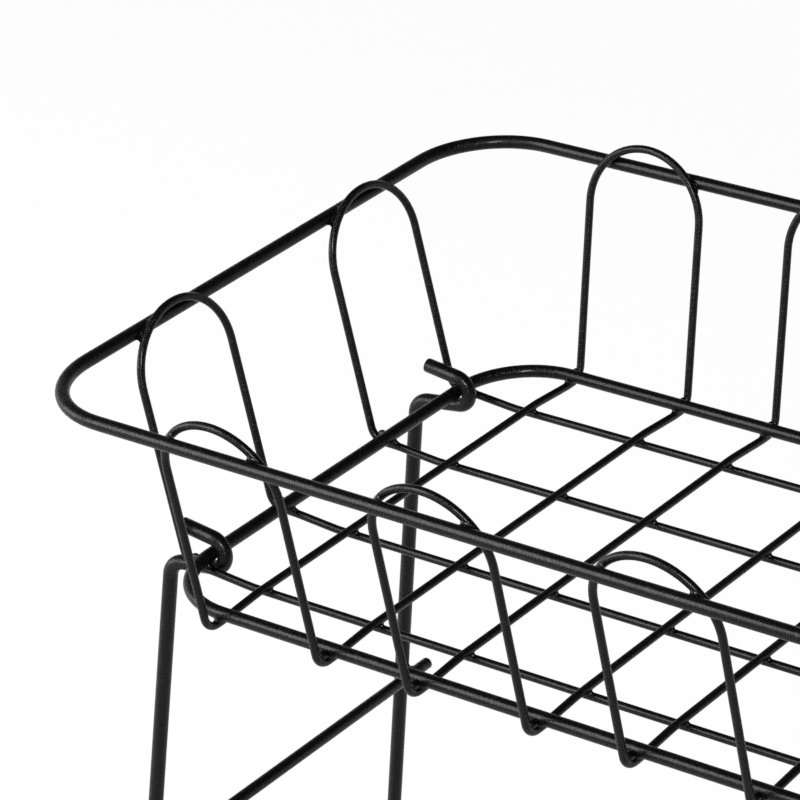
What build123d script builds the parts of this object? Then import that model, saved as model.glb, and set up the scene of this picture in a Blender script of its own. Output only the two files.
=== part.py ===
from build123d import *
from math import atan2, cos, radians, sin, tan
import os

os.makedirs("parts", exist_ok=True)

# Wire diameters
rim_wire = 5.0
ring_wire = 4.8
loop_wire = 2.9
leg_wire = 5.4
bar_wire = 4.5

# Welded wires keep this sliver between them, so that each wire stays its own solid
weld_gap = 0.05
# A hook hangs loosely on the wire it holds
hang_gap = 0.4

# Both baskets: the rim and the base ring are measured on their centre lines
upper_length = 417.2
upper_width = 255.0
lower_width = 285.0
basket_height = 77.3
end_flare = 27.9
side_flare = 25.2
rim_corner = 33.3
ring_corner = 29.6

# Wire loops that make the walls and the floor. Past the ring the cross loops' floor runs
# bow up and the long loops' runs bow down, until one lies on the other where they cross.
loop_width = 47.7
side_rise = 9.4
end_rise = 5.3
foot_bend = 6.1
end_standoff = 8.7
side_standoff = 7.2
cross_bow = 1.35
bow_start = 2.0
bow_end = 21.0
bow_bend = 60.0
cross_count = 4
upper_cross_pitch = 85.7
lower_cross_pitch = 100.0
upper_long_pitch = 106.5
upper_long_shift = 1.6
lower_long_pitch = 122.0
lower_long_shift = 0.0

# Side frames, one at each end
leg_offset = 18.0
leg_length = 259.0
leg_lean = 9.2
leg_splay = 1.7
leg_spread = 141.8
leg_bend = 7.5
hook_radius = 5.8
hook_reach = -0.2
hook_tilt = 8.0
tip_length = 13.5
tip_angle = 7.4
bar_drop = 132.4
bar_overhang = 10.0
saddle_inset = 8.0
prong_inset = 19.0
prong_length = 14.0

# Rubber feet that snap over the lower base ring
foot_diameter = 14.0
foot_lip = 1.5
foot_mouth = 3.8
foot_edge = 1.2
table_gap = 4.0

# Levels, measured from the table
cross_drop = (ring_wire + loop_wire) / 2 + weld_gap
long_bow = loop_wire + weld_gap - cross_bow
lower_ring_level = table_gap + loop_wire / 2 + long_bow + cross_drop
lower_rim_level = lower_ring_level + basket_height

# The saddle at the leg's lower end lies square to the leg, over the lower rim
lean = radians(leg_lean)
saddle_drop = (leg_wire + rim_wire) / 2 + hang_gap
saddle_out = leg_offset + leg_length * sin(lean) - saddle_inset * cos(lean) + saddle_drop * sin(lean)
saddle_down = leg_length * cos(lean) + saddle_inset * sin(lean) + saddle_drop * cos(lean)
splay = radians(leg_splay)
upper_ring_level = lower_rim_level + saddle_down * cos(splay)
upper_rim_level = upper_ring_level + basket_height

# The lower basket is as long as the leaning legs make it
upper_ring_end = upper_length / 2 - end_flare
lower_length = 2 * (upper_ring_end + saddle_out)


def rounded_wire(length, width, corner, wire, level):
    """A rounded rectangle of thick wire, swept over one half and mirrored."""
    with BuildPart() as ring:
        with BuildLine(Plane.XY.offset(level)) as route:
            FilletPolyline(
                (0, -width / 2),
                (length / 2, -width / 2),
                (length / 2, width / 2),
                (0, width / 2),
                radius=corner,
            )
        with BuildSketch(Plane(route.line @ 0, z_dir=route.line % 0)):
            Circle(wire / 2)
        sweep(path=route.line)
        mirror(about=Plane.YZ)
    return ring


def wall_loop(middle, half_span, flare, standoff, rise, bow, mirror_plane):
    """One closed wire: an arch on each of two facing walls, joined by two floor runs.

    The middle plane lies at the base ring's level with its X along the wall and
    its Y across the basket. The wire leaves the floor under the ring, bends up
    outside it and leans out with the wall to an arch inside the rim.
    """
    touch = (rim_wire + loop_wire) / 2 + weld_gap
    slope = atan2(flare - standoff - touch, basket_height)
    rim_inset = touch / cos(slope)
    slope = atan2(flare - standoff - rim_inset, basket_height)
    arch = loop_width / 2
    arch_top = basket_height + rise
    spring = arch_top - arch * cos(slope)

    def inset(level):
        return rim_inset + (basket_height - level) * tan(slope)

    def out(level):
        return -half_span + inset(level)

    ring_line = -half_span + flare
    floor_points = [
        (0, -cross_drop + bow),
        (ring_line + bow_end, -cross_drop + bow),
        (ring_line + bow_start, -cross_drop),
        (out(-cross_drop), -cross_drop),
        (out(spring), spring),
    ]
    bends = [bow_bend, bow_bend, foot_bend]
    with BuildPart() as loop:
        with BuildLine(middle) as route:
            FilletPolyline(*[(-arch, y, z) for y, z in floor_points], radius=bends)
            ThreePointArc(
                (-arch, out(spring), spring),
                (0, out(arch_top), arch_top),
                (arch, out(spring), spring),
            )
            FilletPolyline(
                *[(arch, y, z) for y, z in reversed(floor_points)], radius=bends[::-1]
            )
        with BuildSketch(Plane(route.line @ 0, z_dir=route.line % 0)):
            Circle(loop_wire / 2)
        sweep(path=route.line)
        mirror(about=mirror_plane)
    return loop


def keep(piece, name):
    piece.part.label = name
    export_step(piece.part, f"parts/{name}.step")


# The two baskets: a rim, a base ring, loops from front to rear and loops from end to end
upper_pitches = (upper_cross_pitch, upper_long_pitch, upper_long_shift)
lower_pitches = (lower_cross_pitch, lower_long_pitch, lower_long_shift)
tiers = [
    ("upper", upper_length, upper_width, upper_ring_level, upper_pitches),
    ("lower", lower_length, lower_width, lower_ring_level, lower_pitches),
]
for tier, length, width, ring_level, pitches in tiers:
    cross_pitch, long_pitch, long_shift = pitches
    rim = rounded_wire(length, width, rim_corner, rim_wire, ring_level + basket_height)
    keep(rim, f"{tier}_rim")

    base_length = length - 2 * end_flare
    base_width = width - 2 * side_flare
    base_ring = rounded_wire(base_length, base_width, ring_corner, ring_wire, ring_level)
    keep(base_ring, f"{tier}_base_ring")

    for number in range(cross_count):
        x = (number - (cross_count - 1) / 2) * cross_pitch
        middle = Plane((x, 0, ring_level))
        cross_loop = wall_loop(
            middle, width / 2, side_flare, side_standoff, side_rise, cross_bow, Plane.XZ
        )
        keep(cross_loop, f"{tier}_cross_loop_{number + 1}")

    for side, name in ((-1, "front"), (1, "rear")):
        y = side * long_pitch / 2 + long_shift
        middle = Plane((0, y, ring_level), x_dir=(0, 1, 0), z_dir=(0, 0, 1))
        long_loop = wall_loop(
            middle, length / 2, end_flare, end_standoff, end_rise, -long_bow, Plane.YZ
        )
        keep(long_loop, f"{tier}_long_loop_{name}")

# A side frame leg. Its plane passes through the ring's end wire and splays with the leg:
# X points into the basket and Y up. The route runs from the prong inside the lower rim,
# over the rim, up the leg, under the ring wire, round it and back out over it.
hook_drop = (ring_wire + leg_wire) / 2 + hang_gap
saddle_corner = (-leg_offset - leg_length * sin(lean), -leg_length * cos(lean))
prong_corner = (
    saddle_corner[0] + prong_inset * cos(lean),
    saddle_corner[1] - prong_inset * sin(lean),
)
prong_tip = (
    prong_corner[0] - prong_length * sin(lean),
    prong_corner[1] - prong_length * cos(lean),
)

# The wire leaves the leg's top bend, rises a little to the hook's lowest point and curls
tilt = radians(hook_tilt)
curl_level = hook_radius - hook_drop
curl_start = (hook_reach + hook_radius * sin(tilt), curl_level - hook_radius * cos(tilt))
corner_level = curl_start[1] - (leg_offset + curl_start[0]) * tan(tilt)
corner_level /= 1 - tan(lean) * tan(tilt)
hook_corner = (-leg_offset + corner_level * tan(lean), corner_level)

leg_plane = Plane(
    (-upper_ring_end, -leg_spread / 2, upper_ring_level),
    x_dir=(1, 0, 0),
    z_dir=(0, -cos(splay), sin(splay)),
)
with BuildPart() as left_front_leg:
    with BuildLine(leg_plane) as leg_route:
        FilletPolyline(
            prong_tip,
            prong_corner,
            saddle_corner,
            hook_corner,
            curl_start,
            radius=leg_bend,
        )
        curl = CenterArc(
            (hook_reach, curl_level), hook_radius, hook_tilt - 90, 180 - hook_tilt - tip_angle
        )
        PolarLine(curl @ 1, tip_length, 180 - tip_angle)
    with BuildSketch(Plane(leg_route.line @ 0, z_dir=leg_route.line % 0)):
        Circle(leg_wire / 2)
    sweep(path=leg_route.line)
keep(left_front_leg, "left_frame_front_leg")

with BuildPart() as left_rear_leg:
    mirror(left_front_leg.part, about=Plane.XZ)
keep(left_rear_leg, "left_frame_rear_leg")

# The crossbar is welded to the inner side of both legs and reaches past them
bar_touch = (leg_wire + bar_wire) / 2 + weld_gap
bar_out = upper_ring_end + leg_offset + bar_drop * tan(lean) - bar_touch / cos(lean)
bar_level = upper_ring_level - bar_drop
bar_half = leg_spread / 2 + bar_drop * tan(splay) + bar_overhang
with BuildPart() as left_crossbar:
    with BuildSketch(Plane((-bar_out, 0, bar_level), z_dir=(0, 1, 0))):
        Circle(bar_wire / 2)
    extrude(amount=bar_half, both=True)
keep(left_crossbar, "left_frame_crossbar")

with BuildPart() as right_front_leg:
    mirror(left_front_leg.part, about=Plane.YZ)
keep(right_front_leg, "right_frame_front_leg")

with BuildPart() as right_rear_leg:
    mirror(left_rear_leg.part, about=Plane.YZ)
keep(right_rear_leg, "right_frame_rear_leg")

with BuildPart() as right_crossbar:
    mirror(left_crossbar.part, about=Plane.YZ)
keep(right_crossbar, "right_frame_crossbar")

# A foot is a turned rubber button with a channel for the ring wire and a narrower mouth
foot_x = (cross_count - 1) / 2 * lower_cross_pitch
foot_y = lower_width / 2 - side_flare
foot_top = lower_ring_level + foot_lip
feet = {"front_left": (-1, -1), "front_right": (1, -1), "rear_left": (-1, 1), "rear_right": (1, 1)}
for name, (side_x, side_y) in feet.items():
    x = side_x * foot_x
    y = side_y * foot_y
    middle = Plane((x, y, 0))
    with BuildPart() as foot:
        with BuildSketch(middle):
            Circle(foot_diameter / 2)
        extrude(amount=foot_top)
        fillet(foot.edges().filter_by(GeomType.CIRCLE), foot_edge)
        with BuildSketch(Plane((x, y, lower_ring_level), z_dir=(1, 0, 0))):
            Circle(ring_wire / 2 + weld_gap)
        extrude(amount=foot_diameter, both=True, mode=Mode.SUBTRACT)
        with BuildSketch(middle.offset(lower_ring_level)):
            Rectangle(2 * foot_diameter, foot_mouth)
        extrude(amount=foot_diameter, mode=Mode.SUBTRACT)
    keep(foot, f"foot_{name}")
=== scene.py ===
import bpy
import random
from math import atan2, cos, pi, radians, sin, sqrt, tan
from mathutils import Matrix, Vector


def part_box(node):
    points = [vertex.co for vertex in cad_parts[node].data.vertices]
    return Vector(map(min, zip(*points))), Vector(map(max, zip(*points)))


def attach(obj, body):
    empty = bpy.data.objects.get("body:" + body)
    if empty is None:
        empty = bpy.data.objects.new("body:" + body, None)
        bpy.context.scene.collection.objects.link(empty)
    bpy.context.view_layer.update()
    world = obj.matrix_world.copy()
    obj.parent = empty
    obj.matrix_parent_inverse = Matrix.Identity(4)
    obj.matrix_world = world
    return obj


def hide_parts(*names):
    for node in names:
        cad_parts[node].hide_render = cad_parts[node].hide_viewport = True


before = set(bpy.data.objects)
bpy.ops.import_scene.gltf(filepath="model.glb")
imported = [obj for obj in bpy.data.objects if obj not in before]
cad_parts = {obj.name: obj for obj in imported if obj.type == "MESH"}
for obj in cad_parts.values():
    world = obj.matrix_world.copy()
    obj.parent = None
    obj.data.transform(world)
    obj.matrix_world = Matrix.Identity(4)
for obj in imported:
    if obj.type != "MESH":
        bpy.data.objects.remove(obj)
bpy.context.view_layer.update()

mm = 0.001
random.seed(5)

# Sizes of the bent wires that the frame's boxes don't give
rim_corner = 33.3 * mm
ring_corner = 29.6 * mm
loop_wire = 2.9 * mm
side_rise = 9.4 * mm
end_rise = 5.3 * mm
foot_bend = 6.1 * mm
end_standoff = 8.7 * mm
side_standoff = 7.2 * mm
cross_bow = 1.35 * mm
bow_start = 2.0 * mm
bow_end = 21.0 * mm
bow_bend = 60.0 * mm
weld_gap = 0.05 * mm
hang_gap = 0.4 * mm
long_bow = loop_wire + weld_gap - cross_bow

# Side frame legs
leg_wire = 5.4 * mm
leg_offset = 18.0 * mm
leg_length = 259.0 * mm
leg_lean = radians(9.2)
leg_splay = radians(1.7)
leg_spread = 141.8 * mm
leg_bend = 7.5 * mm
hook_radius = 5.8 * mm
hook_reach = -0.2 * mm
hook_tilt = radians(8.0)
tip_length = 13.5 * mm
tip_angle = radians(7.4)
prong_inset = 19.0 * mm
prong_length = 14.0 * mm

# Weld metal: how far apart the two wires' surfaces are where each weld's throat ends
ring_weld = 0.9 * mm
rim_weld = 0.7 * mm
floor_weld = 0.65 * mm
bar_weld = 1.3 * mm

# A weld's outline, in shares: how far its toes run out along the wires, how far its waist
# is drawn in, how uneven it is, and how much of a wire's radius it reaches at most. The
# least share keeps that last limit finite straight along a wire.
weld_toe = 0.7
weld_waist = 0.16
weld_lumps = 0.12
weld_most = 0.93
weld_least = 0.2

# How deep a weld's edges sink into its wires, and half the height of its hidden middle
weld_overlap = 0.05 * mm
weld_core = 0.15 * mm

# Beads of weld metal in the corner between a loop's foot and the ring: their half sizes
# along the wall, across it and up, and their middle, outside and below the ring's wire
bead_sizes = (1.25 * mm, 2.3 * mm, 1.8 * mm)
bead_out = 3.6 * mm
bead_down = 0.8 * mm

# The photograph shows one foot without its bead: the loop, its side and its leg
open_foot = ("upper_cross_loop_1", -1, -1)

# Camera, worked out from the photograph's perspective
camera_place = Vector((0.7581, -1.1160, 1.1131))
camera_azimuth = radians(39.14)
camera_elevation = radians(26.80)
camera_roll = radians(-4.24)
camera_lens = 207.75
sensor_width = 36.0

# How finely the meshes are drawn
tube_sides = 32
arc_step = radians(5.0)
weld_rows = 7
weld_columns = 28
bead_rows = 8
bead_columns = 16

# The rounded edge of a cut end, as a share of the wire, and where its middle point lies
end_round = 0.09
end_soft = 0.3

# Where most of a noise lies
noise_low = 0.3
noise_high = 0.7

# Studio
floor_reach = 4.0
floor_whiteness = 0.93
ceiling_start = 0.25
ceiling_strength = 0.08
shading_strength = 0.38
lamp_aim = Vector((0, 0, 0.3))

up = Vector((0, 0, 1))


# Routes: points along bent wire, with an arc in place of each corner
def bend_points(before, corner, after, radius):
    """The arc that rounds one corner, from one straight to the next."""
    a = (before - corner).normalized()
    b = (after - corner).normalized()
    turn = pi - a.angle(b)
    middle = corner + (a + b).normalized() * (radius / cos(turn / 2))
    start = corner + a * (radius * tan(turn / 2)) - middle
    axis = a.cross(b).normalized()
    count = max(2, int(turn / arc_step) + 1)
    return [
        middle + Matrix.Rotation(-turn * i / count, 3, axis) @ start for i in range(count + 1)
    ]


def bent(points, radii):
    """An open route. One radius is given for each corner between its two ends."""
    points = [Vector(p) for p in points]
    route = [points[0]]
    for i, radius in enumerate(radii, start=1):
        route += bend_points(points[i - 1], points[i], points[i + 1], radius)
    return route + [points[-1]]


def bent_ring(points, radius):
    """A closed route, with the same radius at each corner."""
    points = [Vector(p) for p in points]
    route = []
    for i, corner in enumerate(points):
        route += bend_points(points[i - 1], corner, points[(i + 1) % len(points)], radius)
    return route


# Meshes
def new_piece(name, verts, faces, wire_places=None):
    """A mesh object. wire_places gives each face corner's way along and round the wire."""
    mesh = bpy.data.meshes.new(name)
    mesh.from_pydata(verts, [], faces)
    mesh.update()
    if wire_places:
        layer = mesh.attributes.new("wire_place", "FLOAT_VECTOR", "CORNER")
        layer.data.foreach_set("vector", [x for place in wire_places for x in place])
    for face in mesh.polygons:
        cut_end = len(face.vertices) > 4
        face.use_smooth = not cut_end
    piece = bpy.data.objects.new(name, mesh)
    bpy.context.scene.collection.objects.link(piece)
    return piece


def rounded_ends(route, wire):
    """An open route and its radii, with points added to round the edges of the cut ends."""
    full = wire / 2
    edge = wire * end_round
    soft = edge * end_soft
    first = (route[1] - route[0]).normalized()
    last = (route[-2] - route[-1]).normalized()
    start = [route[0], route[0] + first * soft, route[0] + first * edge]
    end = [route[-1] + last * edge, route[-1] + last * soft, route[-1]]
    end_radii = [full - edge, full - soft, full]
    radii = end_radii + [full] * (len(route) - 2) + end_radii[::-1]
    return start + route[1:-1] + end, radii


def route_frames(route, closed):
    """A tangent and a normal at each point, and the twist that brings a ring's ends together."""
    count = len(route)
    steps = [(route[(i + 1) % count] - route[i]).normalized() for i in range(count)]
    if not closed:
        steps[-1] = steps[-2]
    tangents = []
    for i, step in enumerate(steps):
        before = steps[i - 1] if closed or i > 0 else step
        tangents.append((before + step).normalized())
    normals = [tangents[0].orthogonal().normalized()]
    for i in range(1, count):
        turn = tangents[i - 1].rotation_difference(tangents[i])
        normals.append((turn @ normals[-1]).normalized())
    if not closed:
        return tangents, normals, 0.0
    end = tangents[-1].rotation_difference(tangents[0]) @ normals[-1]
    twist = -atan2(normals[0].cross(end).dot(tangents[0]), normals[0].dot(end))
    return tangents, normals, twist


def tube(name, route, wire, closed=False):
    """A round wire along a route. Cut ends get slightly rounded edges."""
    if closed:
        radii = [wire / 2] * len(route)
    else:
        route, radii = rounded_ends(route, wire)
    tangents, normals, twist = route_frames(route, closed)
    count = len(route)
    verts, faces, wire_places = [], [], []
    for i in range(count):
        side = tangents[i].cross(normals[i])
        for k in range(tube_sides):
            angle = 2 * pi * k / tube_sides + twist * i / count
            offset = normals[i] * cos(angle) + side * sin(angle)
            verts.append(route[i] + offset * radii[i])
    here = 0.0
    side_width = pi * wire / tube_sides
    for i in range(count if closed else count - 1):
        this = i * tube_sides
        after = (i + 1) % count * tube_sides
        there = here + (route[(i + 1) % count] - route[i]).length
        for k in range(tube_sides):
            n = (k + 1) % tube_sides
            faces.append((this + k, this + n, after + n, after + k))
            left, right = k * side_width, (k + 1) * side_width
            wire_places += [(here, left, 0), (here, right, 0), (there, right, 0), (there, left, 0)]
        here = there
    if not closed:
        faces.append(tuple(reversed(range(tube_sides))))
        faces.append(tuple(range((count - 1) * tube_sides, count * tube_sides)))
        wire_places += [(0, 0, 0)] * tube_sides * 2
    return new_piece(name, verts, faces, wire_places)


def sunk(radius, aside):
    """How far a round wire's surface falls away at a distance aside from its top line."""
    return radius - sqrt(radius ** 2 - aside ** 2)


def weld_column(place, ray, normal, upper, lower, height, lump):
    """One upright row of a weld's points, out along a ray from the weld's middle."""
    (upper_axis, upper_radius), (lower_axis, lower_radius) = upper, lower
    upper_share = ray.cross(upper_axis).length
    lower_share = ray.cross(lower_axis).length
    spread = upper_share ** 2 / upper_radius + lower_share ** 2 / lower_radius
    upper_toe = 1 + weld_toe * (1 - upper_share ** 2) ** 2
    lower_toe = 1 + weld_toe * (1 - lower_share ** 2) ** 2
    reach = min(
        sqrt(2 * height / spread) * lump,
        weld_most * upper_radius / max(upper_share * upper_toe, weld_least),
        weld_most * lower_radius / max(lower_share * lower_toe, weld_least),
    )
    upper_reach = reach * upper_toe
    lower_reach = reach * lower_toe
    high = sunk(upper_radius, upper_reach * upper_share) + weld_overlap
    low = -sunk(lower_radius, lower_reach * lower_share) - weld_overlap
    column = []
    # The waist is deepest half way up
    for r in range(weld_rows):
        t = r / (weld_rows - 1)
        out = lower_reach + (upper_reach - lower_reach) * t
        out -= reach * weld_waist * 4 * t * (1 - t)
        column.append(place + ray * out + normal * (low + (high - low) * t))
    return column


def add_weld(verts, faces, place, normal, upper, lower, height):
    """Weld metal where two wires cross: a hollow fillet that runs out along each wire.

    The normal points from the lower wire to the upper one. Each wire is its axis and its
    radius. height is how far apart their surfaces are where the weld's throat ends.
    """
    upper_axis = upper[0]
    across = normal.cross(upper_axis).normalized()
    lumps = [random.uniform(1 - weld_lumps, 1 + weld_lumps) for _ in range(weld_columns)]
    start = len(verts)
    for c in range(weld_columns):
        turn = 2 * pi * c / weld_columns
        ray = upper_axis * cos(turn) + across * sin(turn)
        lump = (lumps[c - 1] + 2 * lumps[c] + lumps[(c + 1) % weld_columns]) / 4
        verts += weld_column(place, ray, normal, upper, lower, height, lump)
    middle = len(verts)
    verts += [place - normal * weld_core, place + normal * weld_core]
    columns = [start + c * weld_rows for c in range(weld_columns)]
    neighbours = list(zip(columns, columns[1:] + columns[:1]))
    for this, after in neighbours:
        for r in range(weld_rows - 1):
            faces.append((this + r, after + r, after + r + 1, this + r + 1))
    for this, after in neighbours:
        faces.append((middle, after, this))
        faces.append((middle + 1, this + weld_rows - 1, after + weld_rows - 1))


def add_bead(verts, faces, middle, axes):
    """An egg of weld metal. Its axes are as long as its half sizes."""
    first, second, third = axes
    if first.cross(second).dot(third) < 0:
        first, second = second, first
    start = len(verts)
    for r in range(1, bead_rows):
        tilt = pi * r / bead_rows
        for c in range(bead_columns):
            turn = 2 * pi * c / bead_columns
            ray = first * cos(turn) + second * sin(turn)
            verts.append(middle + ray * sin(tilt) - third * cos(tilt))
    last = len(verts) - bead_columns
    bottom = len(verts)
    verts += [middle - third, middle + third]
    for c in range(bead_columns):
        n = (c + 1) % bead_columns
        for row in range(start, last, bead_columns):
            above = row + bead_columns
            faces.append((row + c, row + n, above + n, above + c))
        faces.append((bottom, start + n, start + c))
        faces.append((bottom + 1, last + c, last + n))


def weld_piece(name, welds, beads=()):
    """All the weld metal of a body. A weld or a bead is what add_weld or add_bead takes."""
    verts, faces = [], []
    for bead in beads:
        add_bead(verts, faces, *bead)
    for weld in welds:
        add_weld(verts, faces, *weld)
    return new_piece(name, verts, faces)


# Materials
def new_material(name):
    """A node material. Returns it, its tree and its shader."""
    material = bpy.data.materials.new(name)
    material.use_nodes = True
    tree = material.node_tree
    return material, tree, tree.nodes["Principled BSDF"]


def noise(tree, place, scale, detail):
    """A noise over the coordinates that place gives."""
    texture = tree.nodes.new("ShaderNodeTexNoise")
    texture.inputs["Scale"].default_value = scale
    texture.inputs["Detail"].default_value = detail
    tree.links.new(place, texture.inputs["Vector"])
    return texture.outputs["Fac"]


def wire_noise(tree, along, around):
    """Noise with its own scales along and round the wire."""
    place = tree.nodes.new("ShaderNodeAttribute")
    place.attribute_name = "wire_place"
    stretch = tree.nodes.new("ShaderNodeVectorMath")
    stretch.operation = "MULTIPLY"
    stretch.inputs[1].default_value = (along, around, 1)
    tree.links.new(place.outputs["Vector"], stretch.inputs[0])
    return noise(tree, stretch.outputs["Vector"], scale=1.0, detail=1.0)


def spread_over(tree, fac, low, high):
    """A noise, spread from low to high."""
    spread = tree.nodes.new("ShaderNodeMapRange")
    spread.inputs["From Min"].default_value = noise_low
    spread.inputs["From Max"].default_value = noise_high
    spread.inputs["To Min"].default_value = low
    spread.inputs["To Max"].default_value = high
    tree.links.new(fac, spread.inputs["Value"])
    return spread.outputs["Result"]


def two_shades(tree, fac, dark, light):
    """A colour that runs from dark to light with a noise."""
    shade = tree.nodes.new("ShaderNodeValToRGB")
    shade.color_ramp.elements[0].color = (*dark, 1)
    shade.color_ramp.elements[1].color = (*light, 1)
    tree.links.new(fac, shade.inputs["Fac"])
    return shade.outputs["Color"]


def bump(tree, heights, strength, distance):
    """Bumps laid one on another: a list of (height, share of the distance)."""
    normal = None
    for height, share in heights:
        node = tree.nodes.new("ShaderNodeBump")
        node.inputs["Strength"].default_value = strength
        node.inputs["Distance"].default_value = distance * share
        tree.links.new(height, node.inputs["Height"])
        if normal:
            tree.links.new(normal, node.inputs["Normal"])
        normal = node.outputs["Normal"]
    return normal


def powder_coat_material():
    """Satin black powder coat: the grain across the wire shows through its orange peel."""
    material, tree, shader = new_material("powder_coat")
    place = tree.nodes.new("ShaderNodeTexCoord").outputs["Object"]
    ribs = wire_noise(tree, along=2300.0, around=450.0)
    peel = noise(tree, place, scale=1900.0, detail=2.0)
    grain = noise(tree, place, scale=3600.0, detail=2.0)
    heights = [(ribs, 1.0), (peel, 0.35), (grain, 0.1)]
    tree.links.new(bump(tree, heights, strength=1.0, distance=0.3 * mm), shader.inputs["Normal"])
    tree.links.new(spread_over(tree, ribs, low=0.16, high=0.5), shader.inputs["Roughness"])
    black = two_shades(tree, grain, dark=(0.001, 0.001, 0.0012), light=(0.003, 0.003, 0.0035))
    tree.links.new(black, shader.inputs["Base Color"])
    shader.inputs["Specular IOR Level"].default_value = 0.11
    shader.inputs["Coat Weight"].default_value = 0.12
    shader.inputs["Coat Roughness"].default_value = 0.16
    return material


def rubber_material():
    """Matt black rubber with a fine moulded grain."""
    material, tree, shader = new_material("rubber")
    place = tree.nodes.new("ShaderNodeTexCoord").outputs["Object"]
    grain = noise(tree, place, scale=1800.0, detail=4.0)
    heights = [(grain, 1.0)]
    tree.links.new(bump(tree, heights, strength=0.3, distance=0.2 * mm), shader.inputs["Normal"])
    black = two_shades(tree, grain, dark=(0.007, 0.007, 0.007), light=(0.014, 0.014, 0.014))
    tree.links.new(black, shader.inputs["Base Color"])
    shader.inputs["Roughness"].default_value = 0.72
    shader.inputs["Specular IOR Level"].default_value = 0.2
    return material


powder_coat = powder_coat_material()
rubber = rubber_material()


def finish(piece, body, *nodes):
    """Coats a piece, ties it to its body, and hides the nodes that it stands for."""
    piece.data.materials.append(powder_coat)
    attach(piece, body)
    if nodes:
        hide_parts(*nodes)


# Baskets
def wire_ring(node, corner, body):
    """A rim or base ring, rebuilt round. Returns its wire, its half sizes and its level."""
    low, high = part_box(node)
    wire = high.z - low.z
    x = high.x - wire / 2
    y = high.y - wire / 2
    z = (low.z + high.z) / 2
    route = bent_ring([(-x, -y, z), (x, -y, z), (x, y, z), (-x, y, z)], corner)
    finish(tube(node.replace("_", "_wire_", 1), route, wire, closed=True), body, node)
    return wire, x, y, z


class Tier:
    """A basket's rim and base ring: their wires, half sizes and levels."""

    def __init__(self, name, body):
        rim = wire_ring(f"{name}_rim", rim_corner, body)
        ring = wire_ring(f"{name}_base_ring", ring_corner, body)
        self.rim_wire, self.rim_x, self.rim_y, self.rim_level = rim
        self.ring_wire, self.ring_x, self.ring_y, self.ring_level = ring


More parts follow.
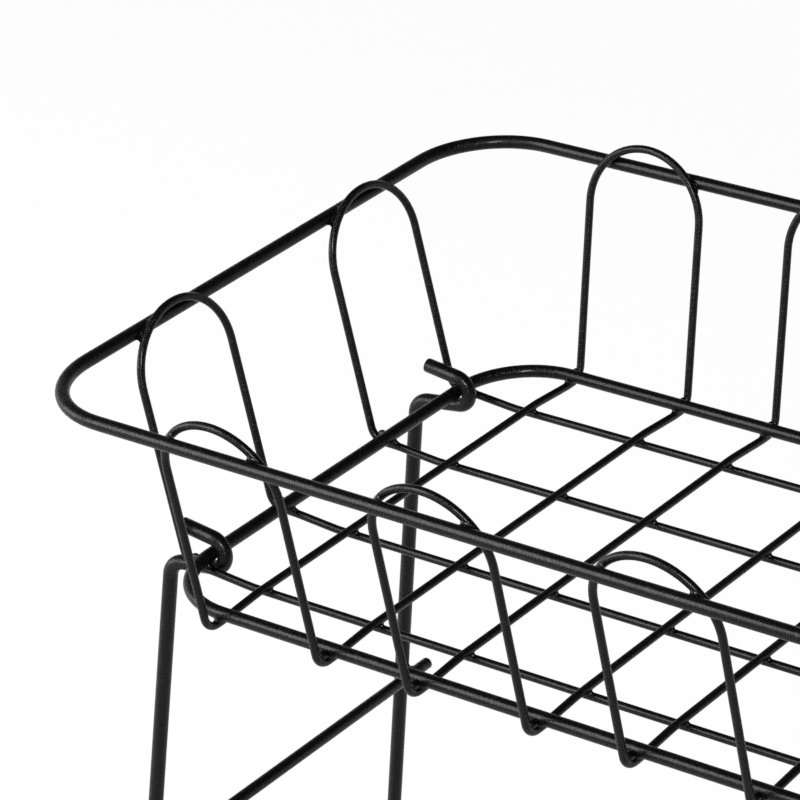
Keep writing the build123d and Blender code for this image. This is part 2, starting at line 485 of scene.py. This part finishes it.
class Loop:
    """One closed wire: an arch on each of two facing walls, joined by two floor runs.

    turned says that it runs from end to end, and not from front to rear. Its sides are -1,
    the front or left wall, and 1, and the legs of each arch are -1 and 1 along the wall.
    """

    def __init__(self, tier, node, turned):
        low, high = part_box(node)
        if turned:
            first, last = low.y, high.y
            self.half_span, self.half_ring = tier.rim_x, tier.ring_x
            rise, standoff, self.bow = end_rise, end_standoff, -long_bow
        else:
            first, last = low.x, high.x
            self.half_span, self.half_ring = tier.rim_y, tier.ring_y
            rise, standoff, self.bow = side_rise, side_standoff, cross_bow
        self.tier = tier
        self.node = node
        self.turned = turned
        self.middle = (first + last) / 2
        self.arch = (last - first - loop_wire) / 2
        self.height = tier.rim_level - tier.ring_level
        self.drop = (tier.ring_wire + loop_wire) / 2 + weld_gap
        self.touch = (tier.rim_wire + loop_wire) / 2 + weld_gap
        foot_inset = self.half_span - self.half_ring - standoff
        slope = atan2(foot_inset - self.touch, self.height)
        self.rim_inset = self.touch / cos(slope)
        self.slope = atan2(foot_inset - self.rim_inset, self.height)
        self.spring = self.height + rise - self.arch * cos(self.slope)

    def out(self, level):
        """Where the leaning wall stands at a level above the ring."""
        return -self.half_span + self.rim_inset + (self.height - level) * tan(self.slope)

    def point(self, along, across, above, side=-1):
        """A point from its places along the wall, across the basket and above the ring.

        Across is below zero on the wall's own side of the middle.
        """
        across *= -side
        level = above + self.tier.ring_level
        if self.turned:
            return Vector((across, self.middle + along, level))
        return Vector((self.middle + along, across, level))

    def direction(self, along, across, above, side):
        """A unit vector, given as a point is."""
        return (self.point(along, across, above, side) - self.point(0, 0, 0, side)).normalized()

    def runs(self):
        """Where its two floor runs lie along the wall."""
        return [self.middle - self.arch, self.middle + self.arch]

    def route(self):
        """Its closed line: one half from the floor's middle over its arch, and the same again."""
        floor = [
            (0, -self.drop + self.bow),
            (-self.half_ring + bow_end, -self.drop + self.bow),
            (-self.half_ring + bow_start, -self.drop),
            (self.out(-self.drop), -self.drop),
            (self.out(self.spring), self.spring),
        ]
        bends = (bow_bend, bow_bend, foot_bend)
        route = bent([self.point(-self.arch, y, z) for y, z in floor], bends)
        count = int(pi / arc_step)
        for i in range(1, count):
            angle = pi - pi * i / count
            level = self.spring + self.arch * sin(angle) * cos(self.slope)
            route.append(self.point(self.arch * cos(angle), self.out(level), level))
        route += reversed(bent([self.point(self.arch, y, z) for y, z in floor], bends))
        flip = Vector((-1, 1, 1)) if self.turned else Vector((1, -1, 1))
        return route[:-1] + [p * flip for p in reversed(route)][:-1]

    def welds(self):
        """Its welds with the rim and the base ring."""
        rim_wire, ring_wire = self.tier.rim_wire, self.tier.ring_wire
        # The arch crosses the rim a little above the rim's own level, because the wall leans
        crossing = (self.height + self.touch * sin(self.slope) - self.spring) / cos(self.slope)
        welds = []
        for side in (-1, 1):
            inward = self.direction(0, cos(self.slope), sin(self.slope), side)
            up_wall = self.direction(0, -sin(self.slope), cos(self.slope), side)
            along_wall = self.direction(1, 0, 0, side)
            run = (self.direction(0, 1, 0, side), loop_wire / 2)
            for leg in (-1, 1):
                along = leg * sqrt(self.arch ** 2 - crossing ** 2)
                leg_axis = (up_wall * leg * along - along_wall * leg * crossing).normalized()
                place = self.point(along, -self.half_span, self.height, side)
                place += inward * (rim_wire + weld_gap) / 2
                rim = (along_wall, rim_wire / 2)
                welds.append((place, inward, (leg_axis, loop_wire / 2), rim, rim_weld))
                ring_bottom = -(ring_wire + weld_gap) / 2
                place = self.point(leg * self.arch, -self.half_ring, ring_bottom, side)
                ring = (along_wall, ring_wire / 2)
                welds.append((place, up, ring, run, ring_weld))
        return welds

    def beads(self):
        """The beads in the corners of its feet."""
        beads = []
        for side in (-1, 1):
            axes = (self.direction(1, 0, 0, side), self.direction(0, 1, 0, side), up)
            axes = [axis * size for axis, size in zip(axes, bead_sizes)]
            for leg in (-1, 1):
                if (self.node, side, leg) != open_foot:
                    across = -self.half_ring - bead_out
                    beads.append((self.point(leg * self.arch, across, -bead_down, side), axes))
        return beads


def floor_welds(tier, cross_loops, long_loops):
    """The welds where the cross loops' floor runs lie on those of the long loops."""
    level = tier.ring_level - tier.ring_wire / 2 - weld_gap - loop_wire + cross_bow
    level -= weld_gap / 2
    cross_run = (Vector((0, 1, 0)), loop_wire / 2)
    long_run = (Vector((1, 0, 0)), loop_wire / 2)
    places = [
        Vector((x, y, level))
        for cross_loop in cross_loops
        for x in cross_loop.runs()
        for long_loop in long_loops
        for y in long_loop.runs()
    ]
    return [(place, up, cross_run, long_run, floor_weld) for place in places]


def basket(name):
    """A rim, a base ring, the loops and their weld metal. Returns the tier."""
    body = f"{name}_basket"
    tier = Tier(name, body)
    cross_loops = [Loop(tier, f"{name}_cross_loop_{number}", False) for number in (1, 2, 3, 4)]
    long_loops = [Loop(tier, f"{name}_long_loop_{side}", True) for side in ("front", "rear")]
    welds, beads = [], []
    for loop in cross_loops + long_loops:
        piece = tube(loop.node.replace("_", "_wire_", 1), loop.route(), loop_wire, closed=True)
        finish(piece, body, loop.node)
        welds += loop.welds()
        beads += loop.beads()
    welds += floor_welds(tier, cross_loops, long_loops)
    finish(weld_piece(f"{name}_welds", welds, beads), body)
    return tier


# Side frames
leg_down = Vector((-sin(leg_lean), -cos(leg_lean), 0))


def leg_outline(ring_wire):
    """A leg from its prong to its hook's tip, with X into the basket and Y up from the ring."""
    inward = Vector((cos(leg_lean), -sin(leg_lean), 0))
    saddle_corner = Vector((-leg_offset, 0, 0)) + leg_down * leg_length
    prong_corner = saddle_corner + inward * prong_inset
    prong_tip = prong_corner + leg_down * prong_length
    hook_drop = (ring_wire + leg_wire) / 2 + hang_gap
    curl_middle = Vector((hook_reach, hook_radius - hook_drop, 0))
    curl_start = curl_middle + Vector((sin(hook_tilt), -cos(hook_tilt), 0)) * hook_radius
    corner_level = curl_start.y - (leg_offset + curl_start.x) * tan(hook_tilt)
    corner_level /= 1 - tan(leg_lean) * tan(hook_tilt)
    hook_corner = Vector((-leg_offset + corner_level * tan(leg_lean), corner_level, 0))
    corners = [prong_tip, prong_corner, saddle_corner, hook_corner, curl_start]
    outline = bent(corners, [leg_bend] * 3)
    curl_turn = pi - hook_tilt - tip_angle
    count = int(curl_turn / arc_step)
    for i in range(1, count + 1):
        angle = hook_tilt + curl_turn * i / count
        outline.append(curl_middle + Vector((sin(angle), -cos(angle), 0)) * hook_radius)
    outline.append(outline[-1] + Vector((-cos(tip_angle), sin(tip_angle), 0)) * tip_length)
    return outline


def stand(p, side, end, tier):
    """A point of the leg's outline, set up in the splayed plane of one leg."""
    return Vector((
        side * (tier.ring_x - p.x),
        end * (leg_spread / 2 - p.y * sin(leg_splay)),
        tier.ring_level + p.y * cos(leg_splay),
    ))


def side_frame(name, side, tier, outline):
    """The crossbar and the two legs at one end, and their weld metal."""
    body = f"{name}_side_frame"
    node = f"{name}_frame_crossbar"
    low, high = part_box(node)
    bar_wire = high.z - low.z
    bar_x = (low.x + high.x) / 2
    bar_level = (low.z + high.z) / 2
    bar_axis = Vector((0, 1, 0))
    route = [Vector((bar_x, y, bar_level)) for y in (low.y, 0, high.y)]
    finish(tube(f"{name}_frame_wire_crossbar", route, bar_wire), body, node)
    welds = []
    for end, end_name in ((-1, "front"), (1, "rear")):
        node = f"{name}_frame_{end_name}_leg"
        route = [stand(p, side, end, tier) for p in outline]
        finish(tube(f"{name}_frame_wire_{end_name}_leg", route, leg_wire), body, node)
        top = stand(Vector((0, 0, 0)), side, end, tier)
        leg_axis = (stand(leg_down, side, end, tier) - top).normalized()
        to_bar = leg_axis.cross(bar_axis).normalized()
        to_bar *= -side * (1 if to_bar.x > 0 else -1)
        bar_y = top.y + end * (tier.ring_level - bar_level) * tan(leg_splay)
        place = Vector((bar_x, bar_y, bar_level)) - to_bar * (bar_wire + weld_gap) / 2
        bar = (bar_axis, bar_wire / 2)
        leg = (leg_axis, leg_wire / 2)
        welds.append((place, to_bar, bar, leg, bar_weld))
    finish(weld_piece(f"{name}_frame_welds", welds), body)


upper_tier = basket("upper")
basket("lower")
outline = leg_outline(upper_tier.ring_wire)
side_frame("left", -1, upper_tier, outline)
side_frame("right", 1, upper_tier, outline)

# The feet keep their CAD solids
for corner in ("front_left", "front_right", "rear_left", "rear_right"):
    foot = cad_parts[f"foot_{corner}"]
    foot.data.materials.clear()
    foot.data.materials.append(rubber)


# Studio
def background(tree, strength):
    """A plain white background."""
    node = tree.nodes.new("ShaderNodeBackground")
    node.inputs["Color"].default_value = (1, 1, 1, 1)
    node.inputs["Strength"].default_value = strength
    return node.outputs["Background"]


def larger(tree, first, second):
    """The larger of two values."""
    node = tree.nodes.new("ShaderNodeMath")
    node.operation = "MAXIMUM"
    tree.links.new(first, node.inputs[0])
    tree.links.new(second, node.inputs[1])
    return node.outputs["Value"]


def mixed(tree, share, first, second):
    """Two shaders in one. The share is that of the second."""
    node = tree.nodes.new("ShaderNodeMixShader")
    tree.links.new(share, node.inputs["Fac"])
    tree.links.new(first, node.inputs[1])
    tree.links.new(second, node.inputs[2])
    return node.outputs["Shader"]


def white_floor():
    """A floor that the camera, gloss and glass see nearly white, so that its shadow is faint."""
    material, tree, shader = new_material("floor")
    shader.inputs["Base Color"].default_value = (0.9, 0.9, 0.9, 1)
    shader.inputs["Roughness"].default_value = 0.9
    white = tree.nodes.new("ShaderNodeEmission")
    white.inputs["Strength"].default_value = 1.0
    rays = tree.nodes.new("ShaderNodeLightPath").outputs
    seen = larger(tree, rays["Is Camera Ray"], rays["Is Transmission Ray"])
    seen = larger(tree, seen, rays["Is Glossy Ray"])
    share = tree.nodes.new("ShaderNodeMath")
    share.operation = "MULTIPLY"
    share.inputs[1].default_value = floor_whiteness
    tree.links.new(seen, share.inputs[0])
    tree.links.new(
        mixed(tree, share.outputs["Value"], shader.outputs["BSDF"], white.outputs["Emission"]),
        tree.nodes["Material Output"].inputs["Surface"],
    )
    corners = [
        (x * floor_reach, y * floor_reach, 0) for x, y in ((-1, -1), (1, -1), (1, 1), (-1, 1))
    ]
    floor = new_piece("floor", corners, [(0, 1, 2, 3)])
    floor.data.materials.append(material)


def studio_world():
    """A white backdrop for the camera and glass, and a softer light for shading.

    Gloss sees the white backdrop at the horizon, which fades upwards into a dark ceiling.
    """
    world = bpy.data.worlds.new("studio")
    bpy.context.scene.world = world
    world.use_nodes = True
    tree = world.node_tree
    rays = tree.nodes.new("ShaderNodeLightPath").outputs
    ways = tree.nodes.new("ShaderNodeTexCoord")
    parts = tree.nodes.new("ShaderNodeSeparateXYZ")
    tree.links.new(ways.outputs["Generated"], parts.inputs["Vector"])
    ceiling = tree.nodes.new("ShaderNodeMapRange")
    ceiling.interpolation_type = "SMOOTHSTEP"
    ceiling.inputs["From Min"].default_value = 0.0
    ceiling.inputs["From Max"].default_value = ceiling_start
    tree.links.new(parts.outputs["Z"], ceiling.inputs["Value"])
    backdrop = background(tree, 1.0)
    gloss = mixed(tree, ceiling.outputs["Result"], backdrop, background(tree, ceiling_strength))
    shading = mixed(tree, rays["Is Glossy Ray"], background(tree, shading_strength), gloss)
    seen = larger(tree, rays["Is Camera Ray"], rays["Is Transmission Ray"])
    tree.links.new(
        mixed(tree, seen, shading, backdrop), tree.nodes["World Output"].inputs["Surface"]
    )


def softbox(name, place, size, power, roll=0.0):
    """A rectangular lamp that faces the basket, rolled about its own axis."""
    light = bpy.data.lights.new(name, "AREA")
    light.shape = "RECTANGLE"
    light.size, light.size_y = size
    light.energy = power
    lamp = bpy.data.objects.new(name, light)
    bpy.context.scene.collection.objects.link(lamp)
    lamp.location = place
    facing = (lamp_aim - lamp.location).to_track_quat("-Z", "Y").to_matrix()
    lamp.rotation_euler = (facing @ Matrix.Rotation(roll, 3, "Z")).to_euler()
    return lamp


white_floor()
studio_world()
softbox("key", place=(-1.24, -1.53, 1.42), size=(0.9, 1.6), power=62)
softbox("left", place=(-1.9, -0.75, 0.7), size=(0.9, 0.9), power=18)

# Only gloss sees the strip: it draws a thin bright line along the wires
strip = softbox(
    "strip", place=(0.92, -1.58, 1.56), size=(0.9, 0.2), power=60, roll=radians(-50)
)
strip.visible_diffuse = False

# Camera
camera = bpy.data.objects.new("camera", bpy.data.cameras.new("camera"))
bpy.context.scene.collection.objects.link(camera)
camera.data.sensor_width = sensor_width
camera.data.lens = camera_lens
camera.matrix_world = (
    Matrix.Translation(camera_place)
    @ Matrix.Rotation(camera_azimuth, 4, "Z")
    @ Matrix.Rotation(pi / 2 - camera_elevation, 4, "X")
    @ Matrix.Rotation(camera_roll, 4, "Z")
)
bpy.context.scene.camera = camera
bpy.context.scene.view_settings.view_transform = "Standard"
